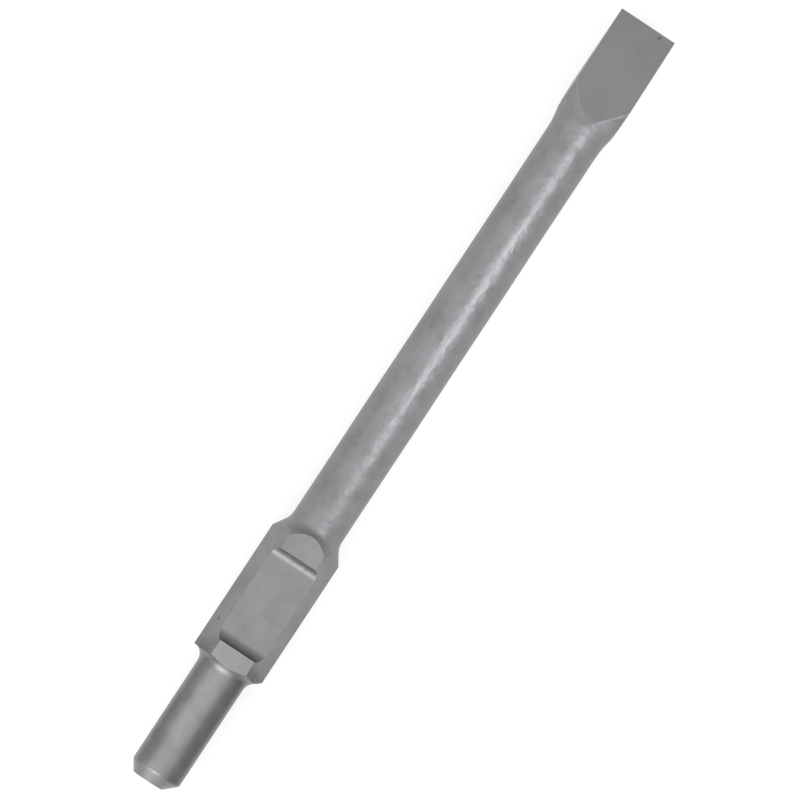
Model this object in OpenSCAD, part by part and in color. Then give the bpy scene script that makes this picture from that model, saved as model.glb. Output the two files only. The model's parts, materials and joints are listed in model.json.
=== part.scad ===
// Flat chisel with a hexagonal shank for a demolition hammer, forged from one bar.
// Its axis lies along X: the striking face is at X = 0 and the cutting edge at the far end.
// The hexagon lies on one of its flats, and the flat with the retaining notch faces up.

/* [Bar] */
// Length of the tool, from the striking face to the cutting edge
overall_len = 395; // [300:5:600]
// Diameter of the round bar between the shank and the blade
bar_d = 25; // [22:0.1:27]

/* [Striking end] */
// Diameter of the round striking end
striker_d = 23.8; // [20:0.1:26]
// Length of the striking end, up to the foot of the shoulder
striker_len = 59.3; // [45:0.1:75]
// Diameter of the flat striking face
face_d = 14.8; // [12:0.2:18]
// Length of the chamfer around the striking face
face_chamfer_len = 5.2; // [3:0.2:8]
// Radius of the fillet at the foot of the shoulder
shoulder_fillet_r = 4.5; // [1:0.5:5]
// Slope of the shoulder, measured from the axis
shoulder_angle = 62; // [35:1:70]

/* [Hexagon] */
// Distance across the flats of the hexagon
hex_af = 30; // [28:0.5:34]
// Length over which the corners of the hexagon are whole
hex_len = 61.2; // [57:0.1:90]
// Width that is turned off each corner, measured across the axis
corner_break = 0.12; // [0.05:0.01:0.4]
// Slope of the neck between the hexagon and the bar, measured from the axis
neck_angle = 32; // [20:1:45]
// Radius of the fillet between the neck and the bar
neck_fillet_r = 9; // [3:0.5:14]

/* [Retaining notch] */
// Depth to which the notched flat is milled below the hexagon's other flats
notched_flat_drop = 0.9; // [0:0.1:1.5]
// Distance from the shoulder's top to the near edge of the notch
notch_start = 6.9; // [3:0.1:8]
// Length of the notch, from edge to edge
notch_len = 47.9; // [30:0.1:48]
// Depth of the notch below its flat
notch_depth = 4.3; // [3:0.1:6]
// Radius of the milled wall at each end of the notch
notch_end_r = 6.3; // [6:0.1:12]

/* [Blade] */
// Width by which the bar swells on each side before the flats begin, which makes the blade wider
swell_h = 1.3; // [0.5:0.1:5]
// Radius of the swelling, seen from above
swell_r = 46; // [20:1:80]
// Height of the lip that the forging dies leave where the swelling starts
swell_lip = 0.06; // [0.04:0.01:0.3]
// Width that the dies trim off each side of the blade
side_trim = 0.05; // [0.03:0.01:0.2]
// Length of the flats, from the tip of their V-shaped root to the cutting edge
blade_len = 50.5; // [42:0.5:90]
// Length of the V-shaped root
root_len = 13.4; // [8:0.1:25]
// Width of each flat at the blunt tip of its root
root_tip_w = 5.4; // [3:0.2:12]
// Thickness of the cutting edge
edge_t = 1.2; // [1:0.1:3]

/* [Hidden] */
// Smoothness of the turned surfaces
$fn = 128;
// Number of steps in each fillet of the turned outline
fillet_steps = 8;
// Number of steps in the swelling, and in the stretch around the V-shaped root
swell_steps = 6;
root_steps = 8;
// Number of points around each section of the flared end
flare_points = 64;
// How far a cutter reaches past the surface that it cuts, and the bar into the flared end
overlap = 1;

striker_r = striker_d / 2;
bar_r = bar_d / 2;
corner_r = hex_af / sqrt(3);
turned_r = corner_r - corner_break;
blade_w = bar_d + 2 * swell_h;
// Half height of the flared end, and its half width where the swelling ends
flare_z = bar_r + swell_lip;
flare_y = blade_w / 2 + side_trim;

// Places along the axis
hex_x0 = striker_len + (turned_r - striker_r) / tan(shoulder_angle);
hex_x1 = hex_x0 + hex_len;
bar_x0 = hex_x1 + (turned_r - bar_r) / tan(neck_angle);
edge_x = overall_len;
root_x = edge_x - blade_len;
swell_x = root_x - sqrt(pow(swell_r, 2) - pow(swell_r - (flare_y - flare_z), 2));

notched_flat_z = hex_af / 2 - notched_flat_drop;
notch_floor_z = notched_flat_z - notch_depth;
// Reach of an end wall along the axis, from the end of the floor to the edge of the flat
notch_wall = sqrt(pow(notch_end_r, 2) - pow(notch_end_r - notch_depth, 2));
notch_x0 = hex_x0 + notch_start;
notch_x1 = notch_x0 + notch_len;

// Points of a fillet of radius r in the concave corner between a straight run and a slope,
// as [radius, distance along the axis]. The corner is at [foot_r, foot_x], the slope rises
// by angle, and side is 1 where the slope rises towards +X and -1 where it falls.
function fillet(foot_r, foot_x, r, angle, side) = [
    for (i = [0 : fillet_steps])
        let (a = angle * (side > 0 ? i : fillet_steps - i) / fillet_steps)
            [foot_r + r * (1 - cos(a)), foot_x + side * (r * sin(a) - r * tan(angle / 2))]
];

// Half width of the flared end in the swelling, which is an arc that starts along the bar
function swell_y(x) = flare_z + swell_r - sqrt(pow(swell_r, 2) - pow(x - swell_x, 2));

// Height of a flat of the blade above the axis
root_z = flare_z * sqrt(1 - pow(root_tip_w / 2 / flare_y, 2));
function flat_z(x) = root_z - (root_z - edge_t / 2) * (x - root_x) / blade_len;

// Half of the width that each flat has at x, which grows evenly to that of the blade
function root_y(x) = (root_tip_w + (blade_w - root_tip_w) * (x - root_x) / root_len) / 2;

// Half width of the flared end around the root, where it passes through the straight sides of the V
function spread_y(x) = max(flare_y, root_y(x) / sqrt(1 - pow(flat_z(x) / flare_z, 2)));

// Section of the flared end at x, drawn around an ellipse of half width half_y
function flare_section(x, half_y) = [
    for (i = [0 : flare_points - 1])
        let (step = 360 / flare_points, a = (i + 0.5) * step)
            [x, half_y * cos(a) / cos(step / 2), flare_z * sin(a) / cos(step / 2)]
];

flare_sections = concat(
    [for (i = [0 : swell_steps - 1])
        let (x = swell_x + (root_x - swell_x) * i / swell_steps) flare_section(x, swell_y(x))],
    [for (i = [0 : root_steps])
        let (x = root_x + root_len * i / root_steps) flare_section(x, spread_y(x))],
    [flare_section(edge_x + overlap, spread_y(root_x + root_len))]
);

// Half of the blank's outline, as [radius, distance along the axis]
turned_outline = concat(
    [[0, 0], [face_d / 2, 0], [striker_r, face_chamfer_len]],
    fillet(striker_r, striker_len, shoulder_fillet_r, shoulder_angle, 1),
    [[turned_r, hex_x0], [turned_r, hex_x1]],
    fillet(bar_r, bar_x0, neck_fillet_r, neck_angle, -1),
    [[bar_r, swell_x + overlap], [0, swell_x + overlap]]
);

// Lays a shape that is built along Z down along the axis of the tool
module along_axis() {
    rotate([0, 90, 0]) children();
}

// The blank: striking end, shoulder, neck and bar, round all over
module turned_blank() {
    along_axis() rotate_extrude() polygon(turned_outline);
}

// Hexagonal prism around the shank and the bar, its notched flat milled below the others
module hexagon() {
    prism_len = swell_x + 2 * overlap;
    intersection() {
        along_axis() rotate([0, 0, 90]) cylinder(h = prism_len, r = corner_r, $fn = 6);
        translate([0, -corner_r, notched_flat_z - hex_af]) cube([prism_len, 2 * corner_r, hex_af]);
    }
}

// Skins a list of sections that all have the same number of points
module loft(sections) {
    n = len(sections[0]);
    last = len(sections) - 1;
    polyhedron(
        points = [for (section = sections, point = section) point],
        faces = concat(
            [[for (i = [0 : n - 1]) i]],
            [for (k = [0 : last - 1], i = [0 : n - 1]) let (j = (i + 1) % n)
                each [[k * n + i, (k + 1) * n + i, k * n + j],
                      [k * n + j, (k + 1) * n + i, (k + 1) * n + j]]],
            [[for (i = [n - 1 : -1 : 0]) last * n + i]]
        ),
        convexity = 4
    );
}

// Wedge that the flats and the sides of the blade lie on, reaching back over the swelling
module wedge() {
    back_x = swell_x - overlap;
    back_z = flat_z(back_x);
    rotate([90, 0, 0]) linear_extrude(height = blade_w, center = true)
        polygon([[back_x, -back_z], [edge_x, -edge_t / 2], [edge_x, edge_t / 2], [back_x, back_z]]);
}

// Path of the milling cutter that cuts the notch right across the top flat
module retaining_notch() {
    cut_w = 2 * (corner_r + overlap);
    floor_x0 = notch_x0 + notch_wall;
    floor_x1 = notch_x1 - notch_wall;
    for (x = [floor_x0, floor_x1])
        translate([x, 0, notch_floor_z + notch_end_r])
            rotate([90, 0, 0]) cylinder(h = cut_w, r = notch_end_r, center = true);
    translate([floor_x0, -cut_w / 2, notch_floor_z])
        cube([floor_x1 - floor_x0, cut_w, notch_end_r]);
}

module shank() {
    difference() {
        intersection() {
            turned_blank();
            hexagon();
        }
        retaining_notch();
    }
}

// The bar's end, flared sideways and then laid flat on its four sides
module blade() {
    intersection() {
        loft(flare_sections);
        wedge();
    }
}

module chisel() {
    color("silver") {
        shank();
        blade();
    }
}

chisel();
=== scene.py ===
"""A hex-shank flat chisel, forged from one bar of tool steel, lying on a pale floor and seen from above."""

import json
import math

import bmesh
import bpy
from mathutils import Matrix, Vector

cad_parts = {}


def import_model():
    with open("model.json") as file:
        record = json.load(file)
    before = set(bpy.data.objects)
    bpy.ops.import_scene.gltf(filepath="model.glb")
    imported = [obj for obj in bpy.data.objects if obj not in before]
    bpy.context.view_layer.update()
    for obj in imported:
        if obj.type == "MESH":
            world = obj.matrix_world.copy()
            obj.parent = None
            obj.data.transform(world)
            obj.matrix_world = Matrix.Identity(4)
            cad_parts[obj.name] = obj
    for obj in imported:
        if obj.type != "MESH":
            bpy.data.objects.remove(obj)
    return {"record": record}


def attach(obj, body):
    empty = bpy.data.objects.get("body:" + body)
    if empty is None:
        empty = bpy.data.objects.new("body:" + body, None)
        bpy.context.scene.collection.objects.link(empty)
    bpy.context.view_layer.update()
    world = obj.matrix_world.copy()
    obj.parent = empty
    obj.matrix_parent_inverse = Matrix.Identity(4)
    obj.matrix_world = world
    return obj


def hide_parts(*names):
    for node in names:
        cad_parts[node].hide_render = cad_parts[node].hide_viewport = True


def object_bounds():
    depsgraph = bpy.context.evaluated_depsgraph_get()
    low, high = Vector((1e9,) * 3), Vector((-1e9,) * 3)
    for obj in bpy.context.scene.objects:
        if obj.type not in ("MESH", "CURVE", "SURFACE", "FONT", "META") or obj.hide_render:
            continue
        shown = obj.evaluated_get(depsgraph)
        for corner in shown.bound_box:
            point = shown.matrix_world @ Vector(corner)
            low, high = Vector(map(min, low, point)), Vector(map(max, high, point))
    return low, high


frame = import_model()
cad_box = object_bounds()

MM = 0.001

# Sizes that the record states, in metres
MOUNTS = {mount["name"]: mount for mount in frame["record"]["mounts"]}
STRIKER_R = MOUNTS["striking_end"]["dims"]["r_mm"] * MM
HEX_AF = -2 * MOUNTS["resting_flat"]["pos_m"][2]
NOTCH_FLOOR_Z = MOUNTS["retaining_notch"]["pos_m"][2]
EDGE_X = cad_box[1][0]

# Striking end; its face is ground a little off the axis
FACE_R = 7.4 * MM
FACE_SHIFT = 1.1 * MM
FACE_CHAMFER = 5.2 * MM
STRIKER_LEN = 59.3 * MM
SHOULDER_FILLET_R = 6 * MM
SHOULDER_SLOPE = math.radians(62)
SHOULDER_SKEW = math.radians(2.8)

# Hexagon
HEX_LEN = 61.2 * MM
HEX_CORNER_R = HEX_AF / math.sqrt(3)
HEX_CORNER_BREAK = 0.12 * MM
NECK_SLOPE = math.radians(32)
NECK_FILLET_R = 9 * MM

# Retaining notch
NOTCHED_FLAT_Z = HEX_AF / 2 - 0.9 * MM
NOTCH_START = 6.9 * MM
NOTCH_LEN = 47.9 * MM
NOTCH_END_R = 6.3 * MM

# Bar; it is a little uneven, in two waves that run into each other
BAR_R = 12.5 * MM
BAR_RING_STEP = 7 * MM
BAR_WAVE = 0.1 * MM
WAVE_LENGTHS = (17 * MM, 47 * MM)

# Blade
BLADE_W = 27.6 * MM
BLADE_LEN = 50.5 * MM
SWELL_R = 46 * MM
EDGE_T = 1.2 * MM
NOSE_LEN = 4 * MM
NOSE_SLOPE = math.radians(8.5)
V_CURVE = 1.15

# Softness of the edges, and the shortest edge that is kept beside them
EDGE_SOFT = 0.3 * MM
ROOT_SOFT = 0.8 * MM
CHAMFER_SOFT = 0.75 * MM
SLIVER = 0.33 * MM
SHARP = math.radians(16)

# A place off every plane of symmetry, from which the points of a mesh are sorted by their distance
SORT_FROM = (-1, -0.37, -0.19)

# Points around every ring, and steps in the curved stretches of the outline
RING = 88
FILLET_STEPS = 8
SWELL_STEPS = 6

# Points of a ring, counted from its top, where the blade's V-shaped root has its tip and its outer corner
TIP_POINT = 3
CORNER_POINT = 10

# Places along the axis, and heights and radii that follow
TURNED_R = HEX_CORNER_R - HEX_CORNER_BREAK
HEX_X0 = STRIKER_LEN + (TURNED_R - STRIKER_R) / math.tan(SHOULDER_SLOPE)
HEX_X1 = HEX_X0 + HEX_LEN
BAR_X0 = HEX_X1 + (TURNED_R - BAR_R) / math.tan(NECK_SLOPE)
ROOT_X = EDGE_X - BLADE_LEN
SWELL_X = ROOT_X - math.sqrt(SWELL_R**2 - (SWELL_R - BLADE_W / 2 + BAR_R) ** 2)


def deselect():
    bpy.ops.object.select_all(action="DESELECT")


def activate(obj):
    """Makes obj the only selected object, ready for an operator."""
    deselect()
    obj.select_set(True)
    bpy.context.view_layer.objects.active = obj


def edit(obj):
    activate(obj)
    bpy.ops.object.mode_set(mode="EDIT")


def done():
    bpy.ops.object.mode_set(mode="OBJECT")


def pick(obj, kind, test):
    """Selects the faces, edges or verts of obj that pass the test, in edit mode.
    The test gets a face's centre and normal, the two ends of an edge, or the place of a vertex."""
    describe = {
        "faces": lambda face: (face.calc_center_median(), face.normal),
        "edges": lambda edge: [vert.co for vert in edge.verts],
        "verts": lambda vert: [vert.co],
    }[kind]
    mesh = bmesh.from_edit_mesh(obj.data)
    bpy.ops.mesh.select_all(action="DESELECT")
    bpy.ops.mesh.select_mode(type=kind[:-1].upper())
    for part in getattr(mesh, kind):
        part.select_set(test(*describe(part)))
    bmesh.update_edit_mesh(obj.data)


def near(x, place, reach=MM / 10):
    """Whether x is within reach of a place."""
    return abs(x - place) < reach


def primitive(add, scale=(1, 1, 1), **options):
    """Adds a primitive at its size and place, as the only selected object."""
    deselect()
    add(**options)
    obj = bpy.context.object
    obj.scale = scale
    bpy.ops.object.transform_apply(location=True, rotation=True, scale=True)
    return obj


def sort_points(obj):
    """Sorts the points, which a cut leaves in no fixed order, so that each run gives the same mesh."""
    bpy.context.scene.cursor.location = SORT_FROM
    edit(obj)
    bpy.ops.mesh.select_all(action="SELECT")
    bpy.ops.mesh.sort_elements(type="CURSOR_DISTANCE", elements={"VERT", "EDGE", "FACE"})
    done()


def cut(obj, tool, operation):
    """Cuts obj with tool, or keeps what they share, and takes the tool away."""
    activate(obj)
    boolean = obj.modifiers.new("cut", "BOOLEAN")
    boolean.operation = operation
    boolean.solver = "EXACT"
    boolean.object = tool
    bpy.ops.object.modifier_apply(modifier=boolean.name)
    sort_points(obj)
    activate(tool)
    bpy.ops.object.delete()


def fillet(foot_r, foot_x, r, slope, side):
    """Stations of a fillet between a straight run and a slope that rises towards side, 1 or -1 along X."""
    steps = range(FILLET_STEPS + 1) if side > 0 else range(FILLET_STEPS, -1, -1)
    angles = [slope * i / FILLET_STEPS for i in steps]
    reach = r * math.tan(slope / 2)
    return [(foot_x + side * (r * math.sin(a) - reach), foot_r + r * (1 - math.cos(a))) for a in angles]


def bar_radius(x):
    """Radius of the forged bar."""
    short, long = WAVE_LENGTHS
    return BAR_R + BAR_WAVE * math.sin(x / short) * math.sin(x / long + 1)


def shank_stations():
    """Places along the axis and radii of the blank, from the striking face to the swelling."""
    over = HEX_CORNER_BREAK
    full_x0 = HEX_X0 + over / math.tan(SHOULDER_SLOPE)
    full_x1 = HEX_X1 - over / math.tan(NECK_SLOPE)
    stations = [(0, FACE_R), (FACE_CHAMFER, STRIKER_R)]
    stations += fillet(STRIKER_R, STRIKER_LEN, SHOULDER_FILLET_R, SHOULDER_SLOPE, 1)
    stations += [(full_x0, TURNED_R + over), (full_x1, TURNED_R + over)]
    stations += fillet(BAR_R, BAR_X0, NECK_FILLET_R, NECK_SLOPE, -1)
    start = stations[-1][0]
    count = round((SWELL_X - start) / BAR_RING_STEP)
    for i in range(1, count + 1):
        x = start + (SWELL_X - start) * i / count
        fade = math.sin(math.pi * i / count)
        stations.append((x, BAR_R + (bar_radius(x) - BAR_R) * fade))
    return stations


def ring_angle(point):
    """Angle between a point of a ring, counted from the top, and the ring's side."""
    return math.pi / 2 - point * 2 * math.pi / RING


# Height of the blade's flats at the tip of the root and at the end of its gentle nose, and their slope beyond
ROOT_Z = BAR_R * math.sin(ring_angle(TIP_POINT))
NOSE_Z = ROOT_Z - NOSE_LEN * math.tan(NOSE_SLOPE)
FLAT_SLOPE = math.atan2(NOSE_Z - EDGE_T / 2, BLADE_LEN - NOSE_LEN)


def flat_z(x):
    """Height of a flat above the axis."""
    reach = x - ROOT_X - NOSE_LEN
    return NOSE_Z - reach * math.tan(NOSE_SLOPE if reach < 0 else FLAT_SLOPE)


def root_x(point):
    """Where the flat passes through this point of every ring."""
    drop = NOSE_Z - BAR_R * math.sin(ring_angle(point))
    return ROOT_X + NOSE_LEN + drop / math.tan(NOSE_SLOPE if drop < 0 else FLAT_SLOPE)


def blade_stations():
    """Places and half widths of the flared end: an arc, then rings that meet the sides of the V."""
    stations = []
    for i in range(SWELL_STEPS):
        x = SWELL_X + (root_x(0) - SWELL_X) * i / SWELL_STEPS
        stations.append((x, BAR_R + SWELL_R - math.sqrt(SWELL_R**2 - (x - SWELL_X) ** 2)))
    side = BLADE_W / 2
    tip = side * math.cos(ring_angle(TIP_POINT))
    for point in range(TIP_POINT, CORNER_POINT + 1):
        x = root_x(point)
        flat = tip + (side - tip) * ((x - ROOT_X) / (root_x(CORNER_POINT) - ROOT_X)) ** V_CURVE
        stations.append((x, max(side, flat / math.cos(ring_angle(point)))))
    stations.append((EDGE_X, stations[-1][1]))
    return stations


def grow(stations):
    """Extrudes the selected end of the blank from station to station, each with its half width and height."""
    for (x0, y0, z0), (x1, y1, z1) in zip(stations, stations[1:]):
        bpy.ops.mesh.extrude_region_move(TRANSFORM_OT_translate={"value": (x1 - x0, 0, 0)})
        bpy.ops.transform.resize(value=(1, y1 / y0, z1 / z0), center_override=(x1, 0, 0))


def shank_blank():
    """The blank grows ring by ring out of its striking face."""
    blank = primitive(
        bpy.ops.mesh.primitive_circle_add,
        vertices=RING, radius=FACE_R, fill_type="NGON", rotation=(math.pi / 2, 0, math.pi / 2),
    )
    edit(blank)
    bpy.ops.mesh.select_all(action="SELECT")
    grow([(x, r, r) for x, r in shank_stations()])
    pick(blank, "verts", lambda p: near(p.x, 0))
    bpy.ops.transform.translate(value=(0, FACE_SHIFT, 0))
    pick(blank, "verts", lambda p: near(p.x, HEX_X0, MM / 4))
    bpy.ops.transform.rotate(value=-SHOULDER_SKEW, orient_axis="Z", center_override=(HEX_X0, 0, 0))
    bpy.ops.mesh.select_all(action="SELECT")
    bpy.ops.mesh.normals_make_consistent(inside=False)
    done()
    return blank


def hexagon():
    """A hexagonal prism over the blank, its corners rounded and its notched flat milled below the others."""
    length = SWELL_X + 2 * NECK_FILLET_R
    prism = primitive(
        bpy.ops.mesh.primitive_cylinder_add,
        vertices=6, radius=HEX_CORNER_R, depth=length,
        location=(length / 2 - NECK_FILLET_R, 0, 0), rotation=(0, math.pi / 2, 0),
    )
    edit(prism)
    bpy.ops.mesh.select_all(action="SELECT")
    bpy.ops.mesh.bisect(
        plane_co=(0, 0, NOTCHED_FLAT_Z), plane_no=(0, 0, 1), use_fill=True, clear_outer=True
    )
    pick(prism, "edges", lambda a, b: not near(a.x, b.x))
    # Radius of the rounding that takes the corner's break off
    corner_round = HEX_CORNER_BREAK / (1 / math.cos(math.pi / 6) - 1)
    bpy.ops.mesh.bevel(offset=corner_round * math.tan(math.pi / 6), segments=4, profile=0.5)
    done()
    return prism


def notch_cutter():
    """The path of the milling cutter: a block with its two lower edges rounded."""
    depth = NOTCHED_FLAT_Z - NOTCH_FLOOR_Z
    wall = math.sqrt(NOTCH_END_R**2 - (NOTCH_END_R - depth) ** 2)
    x0 = HEX_X0 + NOTCH_START + wall - NOTCH_END_R
    x1 = HEX_X0 + NOTCH_START + NOTCH_LEN - wall + NOTCH_END_R
    height = 2 * NOTCH_END_R
    middle_z = NOTCH_FLOOR_Z + height / 2
    block = primitive(
        bpy.ops.mesh.primitive_cube_add, scale=(x1 - x0, 3 * HEX_CORNER_R, height),
        size=1, location=((x0 + x1) / 2, 0, middle_z),
    )
    edit(block)
    pick(block, "edges", lambda a, b: near(a.x, b.x) and max(a.z, b.z) < middle_z)
    bpy.ops.mesh.bevel(offset=NOTCH_END_R, segments=16, profile=0.5)
    done()
    return block


def forge_blade(blank):
    """Draws the end of the blank out, then lays it flat on its four sides."""
    edit(blank)
    pick(blank, "faces", lambda p, n: n.x > 0.9 and near(p.x, SWELL_X))
    grow([(x, half_w, BAR_R) for x, half_w in blade_stations()])
    for side in (1, -1):
        for x, slope in ((EDGE_X, FLAT_SLOPE), (ROOT_X, NOSE_SLOPE)):
            bpy.ops.mesh.select_all(action="SELECT")
            bpy.ops.mesh.bisect(
                plane_co=(x, 0, side * flat_z(x)),
                plane_no=(math.sin(slope), 0, side * math.cos(slope)),
                use_fill=True, clear_outer=True, threshold=MM / 1000,
            )
        pick(blank, "faces", lambda p, n: p.x > SWELL_X)
        bpy.ops.mesh.bisect(
            plane_co=(0, side * BLADE_W / 2, 0), plane_no=(0, side, 0),
            use_fill=True, clear_outer=True, threshold=MM / 1000,
        )
    done()
    sort_points(blank)


def soften_ridges(blank):
    """Rounds the chamfer's ridge and those along the V-shaped roots, which are softer than the other edges."""
    def on_flat(p):
        in_root = root_x(0) - MM / 2 < p.x < root_x(CORNER_POINT) + MM / 10
        return in_root and near(abs(p.z), flat_z(p.x), MM / 50)

    def across(a, b):
        return near(a.x, b.x, MM / 100) and a.x > ROOT_X

    edit(blank)
    pick(blank, "edges", lambda a, b: near(a.x, FACE_CHAMFER) and near(b.x, FACE_CHAMFER))
    bpy.ops.mesh.bevel(offset=CHAMFER_SOFT, segments=4, profile=0.5)
    pick(blank, "edges", lambda a, b: on_flat(a) and on_flat(b) and not across(a, b))
    bpy.ops.mesh.bevel(offset=ROOT_SOFT, segments=4, profile=0.5)
    done()


def weld_slivers(obj):
    """Merges points that crowd the sharp edges, so that those edges can be rounded evenly."""
    edit(obj)
    bpy.ops.mesh.select_all(action="DESELECT")
    bpy.ops.mesh.select_mode(type="EDGE")
    bpy.ops.mesh.edges_select_sharp(sharpness=SHARP)
    bpy.ops.mesh.select_mode(type="VERT")
    bpy.ops.mesh.remove_doubles(threshold=SLIVER)
    bpy.ops.mesh.select_all(action="INVERT")
    bpy.ops.mesh.remove_doubles(threshold=SLIVER, use_unselected=True)
    bpy.ops.mesh.select_all(action="SELECT")
    bpy.ops.mesh.normals_make_consistent(inside=False)
    done()


def mark(obj, place, lean, size):
    """Sinks a long dent into obj, centred on its surface and leaning about the axis."""
    dent = primitive(
        bpy.ops.mesh.primitive_uv_sphere_add, scale=size,
        segments=24, ring_count=12, radius=1, location=place, rotation=(lean, 0, 0),
    )
    cut(obj, dent, "DIFFERENCE")


def marks(obj):
    """The wear that the photo shows: a pit at the cutting edge, a nick on one side, a scratch along the bar."""
    pit_x = EDGE_X - 1.9 * MM
    mark(obj, (pit_x, -7 * MM, flat_z(pit_x)), 0, (0.7 * MM, 0.6 * MM, 0.7 * MM))
    nick_y = 14.35 * MM
    nick_z = (HEX_CORNER_R - nick_y) * math.tan(math.pi / 3)
    mark(obj, (76.8 * MM, nick_y, nick_z), -math.pi / 3, (1.4 * MM, 0.7 * MM, 0.8 * MM))
    scratch_y = -3.7 * MM
    lean = -math.asin(scratch_y / BAR_R)
    mark(obj, (200.6 * MM, scratch_y, BAR_R * math.cos(lean)), lean, (4.2 * MM, 0.35 * MM, 0.15 * MM))


def chisel():
    blank = shank_blank()
    cut(blank, hexagon(), "INTERSECT")
    cut(blank, notch_cutter(), "DIFFERENCE")
    forge_blade(blank)
    weld_slivers(blank)
    soften_ridges(blank)
    activate(blank)
    soften = blank.modifiers.new("soft edges", "BEVEL")
    soften.width = EDGE_SOFT
    soften.segments = 3
    soften.limit_method = "ANGLE"
    soften.angle_limit = SHARP
    bpy.ops.object.modifier_apply(modifier=soften.name)
    marks(blank)
    activate(blank)
    bpy.ops.object.shade_smooth_by_angle(angle=math.radians(40))
    level = blank.modifiers.new("level flats", "WEIGHTED_NORMAL")
    level.keep_sharp = True
    bpy.ops.object.modifier_apply(modifier=level.name)
    blank.name = "chisel_forging"
    return blank


def linear(hex_colour):
    """The linear colour of an sRGB hex value such as "8f8e90"."""
    parts = [int(hex_colour[i : i + 2], 16) / 255 for i in (0, 2, 4)]
    return [p / 12.92 if p <= 0.04045 else ((p + 0.055) / 1.055) ** 2.4 for p in parts] + [1]


def add_node(tree, kind, settings=(), **links):
    """Adds a node with its settings; a link is socket=value or socket=(node, output)."""
    node = tree.nodes.new(kind)
    for name, value in dict(settings).items():
        setattr(node, name, value)
    for name, value in links.items():
        socket = node.inputs[int(name[1:])] if name[1:].isdigit() else node.inputs[name.replace("_", " ")]
        if isinstance(value, tuple) and isinstance(value[0], bpy.types.Node):
            tree.links.new(value[0].outputs[value[1]], socket)
        else:
            socket.default_value = value
    return node


def new_material(name):
    material = bpy.data.materials.new(name)
    material.use_nodes = True
    material.node_tree.nodes.clear()
    return material


def steel(name, dark, light, gloss_range, patch, dimple_depth, grain_depth):
    """Bare tool steel whose colour and gloss vary in patches, with dimples and a fine grain on its surface."""
    material = new_material(name)
    tree = material.node_tree
    place = add_node(tree, "ShaderNodeTexCoord")
    mottle = add_node(tree, "ShaderNodeTexNoise", Vector=(place, "Object"), Scale=1 / patch,
                      Detail=6.0, Roughness=0.65)
    share = add_node(tree, "ShaderNodeMapRange", Value=(mottle, "Fac"), From_Min=0.35, From_Max=0.65)
    colour = add_node(tree, "ShaderNodeMix", {"data_type": "RGBA"}, _0=(share, "Result"),
                      _6=linear(dark), _7=linear(light))
    gloss = add_node(tree, "ShaderNodeMapRange", Value=(share, "Result"),
                     To_Min=gloss_range[0], To_Max=gloss_range[1])
    dimples = add_node(tree, "ShaderNodeTexNoise", Vector=(place, "Object"), Scale=1 / DIMPLE, Detail=2.0)
    uneven = add_node(tree, "ShaderNodeBump", Height=(dimples, "Fac"), Strength=1.0, Distance=dimple_depth)
    grain = add_node(tree, "ShaderNodeTexNoise", Vector=(place, "Object"), Scale=1 / GRAIN, Detail=3.0)
    bump = add_node(tree, "ShaderNodeBump", Height=(grain, "Fac"), Strength=1.0, Distance=grain_depth,
                    Normal=(uneven, "Normal"))
    shader = add_node(tree, "ShaderNodeBsdfPrincipled", Base_Color=(colour, 2), Metallic=1.0,
                      Roughness=(gloss, "Result"), Normal=(bump, "Normal"))
    add_node(tree, "ShaderNodeOutputMaterial", Surface=(shader, "BSDF"))
    return material


# Width of the forging's dimples, and of the grain, which is drawn twice as coarse as shot blasting leaves it
DIMPLE = 5 * MM
GRAIN = 0.9 * MM


def forged_steel():
    """Drop forged and shot blasted: satin grey, dimpled and mottled, so its gloss breaks up in patches."""
    return steel(
        "shot_blasted_forged_tool_steel", "7c7c7e", "8e8d90", (0.36, 0.5), 12 * MM, 0.45 * MM, 0.055 * MM
    )


def pressed_steel():
    """The blade's flats, pressed between dies and blasted: even, matt, hardly dimpled."""
    return steel("pressed_tool_steel", "858486", "8b8a8c", (0.42, 0.5), 20 * MM, 0.15 * MM, 0.02 * MM)


def turned_steel():
    """Turned on a lathe, then blasted: smoother than the forging, with straight soft reflections."""
    return steel("turned_tool_steel", "868689", "969698", (0.42, 0.48), 14 * MM, 0.2 * MM, 0.02 * MM)


def milled_steel():
    """Milled across: flat, even and a little brighter than the forging."""
    return steel("milled_tool_steel", "7e7e7f", "8c8b8e", (0.4, 0.46), 20 * MM, 0.15 * MM, 0.02 * MM)


def paint(obj):
    """Gives the blank its forged finish, and the striking end, the milled faces and the flats their own."""
    notch_x0 = HEX_X0 + NOTCH_START
    notch_x1 = notch_x0 + NOTCH_LEN

    def struck(p, n):
        return p.x < HEX_X0

    def milled(p, n):
        level = n.z > 0.99 and p.z > NOTCH_FLOOR_Z - MM / 10 and HEX_X0 < p.x < HEX_X1 + NECK_FILLET_R
        in_notch = notch_x0 < p.x < notch_x1 and NOTCH_FLOOR_Z < p.z < NOTCHED_FLAT_Z - MM / 10
        return level or (in_notch and abs(n.y) < 0.1)

    def pressed(p, n):
        return p.x > ROOT_X and abs(n.z) > 0.9 and n.x > 0.1 and abs(n.y) < 0.01

    finishes = (turned_steel, struck), (milled_steel, milled), (pressed_steel, pressed)
    obj.data.materials.clear()
    obj.data.materials.append(forged_steel())
    edit(obj)
    for slot, (finish, test) in enumerate(finishes, start=1):
        obj.data.materials.append(finish())
        pick(obj, "faces", test)
        obj.active_material_index = slot
        bpy.ops.object.material_slot_assign()
    done()


# Extra light of the floor where the camera or a reflection sees it, which makes it read as white
FLOOR_LIFT = 0.72


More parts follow.
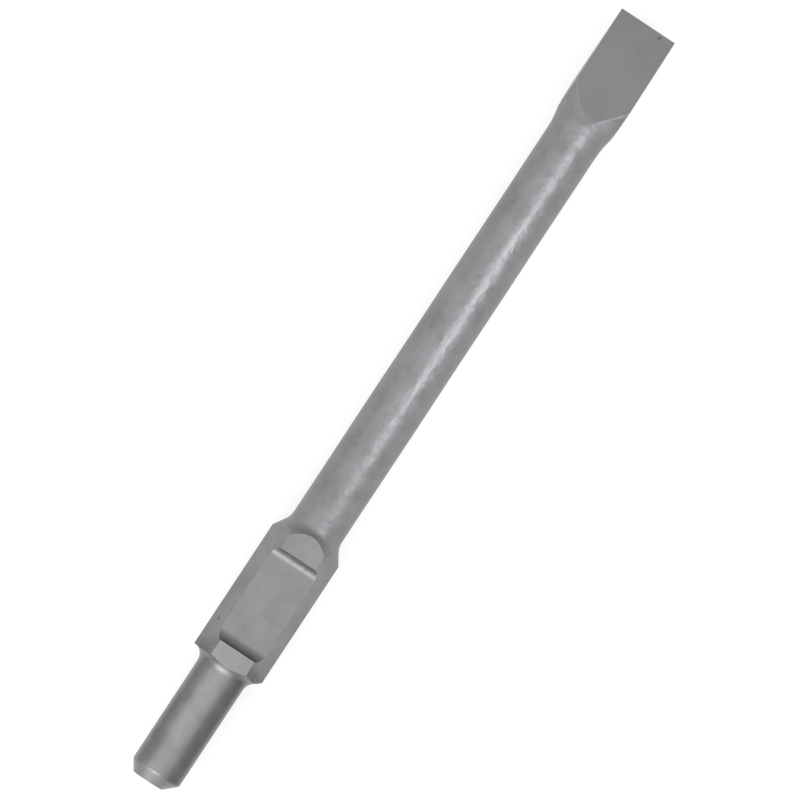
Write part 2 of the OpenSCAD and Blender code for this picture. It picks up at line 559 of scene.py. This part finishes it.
def floor():
    plane = primitive(bpy.ops.mesh.primitive_plane_add, size=6, location=(EDGE_X / 2, 0, cad_box[0][2]))
    plane.name = "floor"
    material = new_material("white_studio_paper")
    tree = material.node_tree
    path = add_node(tree, "ShaderNodeLightPath")
    seen = add_node(tree, "ShaderNodeMath", {"operation": "MAXIMUM"},
                    _0=(path, "Is Camera Ray"), _1=(path, "Is Glossy Ray"))
    lift = add_node(tree, "ShaderNodeMath", {"operation": "MULTIPLY"}, _0=(seen, "Value"), _1=FLOOR_LIFT)
    shader = add_node(tree, "ShaderNodeBsdfPrincipled", Base_Color=linear("959595"), Roughness=0.9,
                      Emission_Color=(1, 1, 1, 1), Emission_Strength=(lift, "Value"))
    add_node(tree, "ShaderNodeOutputMaterial", Surface=(shader, "BSDF"))
    plane.data.materials.append(material)


# Level of the studio's light, and of its darker side, low down beyond the cutting edge
WORLD_LEVEL = 1.1
WORLD_DARK = 0.5
DARK_SIDE = (1, 0, 0.1)


def world():
    studio = bpy.data.worlds.new("studio")
    bpy.context.scene.world = studio
    studio.use_nodes = True
    tree = studio.node_tree
    tree.nodes.clear()
    place = add_node(tree, "ShaderNodeTexCoord")
    towards = add_node(tree, "ShaderNodeVectorMath", {"operation": "DOT_PRODUCT"},
                       _0=(place, "Generated"), _1=Vector(DARK_SIDE).normalized())
    level = add_node(tree, "ShaderNodeMapRange", {"interpolation_type": "SMOOTHSTEP"},
                     Value=(towards, "Value"), From_Min=0.4, From_Max=1.0,
                     To_Min=WORLD_LEVEL, To_Max=WORLD_DARK)
    back = add_node(tree, "ShaderNodeBackground", Color=(1, 1, 1, 1), Strength=(level, "Result"))
    add_node(tree, "ShaderNodeOutputWorld", Surface=(back, "Background"))


# Length of the two flags beside the striking end, which end at the shoulder, and their distance from the axis
FLAG_LEN = 0.128
FLAG_Y = 0.04


def flag(side, height, colour):
    """A card that stands on the floor. It shows in the steel alone and darkens that side of the striking end."""
    screen = primitive(
        bpy.ops.mesh.primitive_plane_add, scale=(FLAG_LEN, height, 1),
        size=1, location=(0, side * FLAG_Y, cad_box[0][2] + height / 2), rotation=(math.pi / 2, 0, 0),
    )
    screen.name = "flag"
    material = new_material("grey_card")
    shader = add_node(material.node_tree, "ShaderNodeBsdfPrincipled", Base_Color=linear(colour), Roughness=1.0)
    add_node(material.node_tree, "ShaderNodeOutputMaterial", Surface=(shader, "BSDF"))
    screen.data.materials.append(material)
    screen.visible_camera = screen.visible_diffuse = screen.visible_shadow = False


def area_lamp(name, place, target, size, power, spread=math.pi):
    """A softbox that faces its target. Its power is in watts."""
    data = bpy.data.lights.new(name, "AREA")
    data.shape = "RECTANGLE"
    data.size, data.size_y = size
    data.energy = power
    data.spread = spread
    lamp = bpy.data.objects.new(name, data)
    bpy.context.collection.objects.link(lamp)
    lamp.location = place
    lamp.rotation_euler = (Vector(target) - Vector(place)).to_track_quat("-Z", "Y").to_euler()


def lamps():
    area_lamp("overhead softbox", (0.1, 0.2, 1.1), (0.1, 0.05, 0), (0.9, 0.9), 0.75)
    area_lamp("key softbox", (0.26, -0.17, 0.4), (0.26, 0, 0), (0.16, 0.13), 0.053, math.radians(60))
    area_lamp("tail softbox", (-0.7, 0.14, 0.55), (0.05, 0, 0), (0.5, 0.4), 2.9)
    area_lamp("side softbox", (0.25, 0.7, 0.75), (0.2, 0, 0), (0.8, 0.4), 0.3)


# Camera: straight above, rolled a little about the tool's axis, as the photo shows the notched flat
CAMERA_DISTANCE = 5.0
VIEW_WIDTH = 0.3489
VIEW_CENTRE = Vector((0.1991, 0.0006, 0))
TIP_ANGLE = math.radians(56.586)
ROLL = math.radians(2.5)


def camera():
    across = Vector((0, math.cos(ROLL), -math.sin(ROLL)))
    along = Vector((1, 0, 0))
    right = along * math.cos(TIP_ANGLE) - across * math.sin(TIP_ANGLE)
    up = along * math.sin(TIP_ANGLE) + across * math.cos(TIP_ANGLE)
    back = right.cross(up)
    data = bpy.data.cameras.new("camera")
    data.sensor_width = 36
    data.lens = data.sensor_width * CAMERA_DISTANCE / VIEW_WIDTH
    data.clip_end = 20
    eye = bpy.data.objects.new("camera", data)
    bpy.context.collection.objects.link(eye)
    turn = Matrix((right, up, back)).transposed().to_4x4()
    eye.matrix_world = Matrix.Translation(VIEW_CENTRE + back * CAMERA_DISTANCE) @ turn
    bpy.context.scene.camera = eye


piece = chisel()
paint(piece)
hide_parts("chisel")
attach(piece, "root")

floor()
flag(-1, 0.064, "c4c4c4")
flag(1, 0.05, "f6f6f6")
world()
lamps()
camera()
bpy.context.scene.view_settings.view_transform = "Standard"
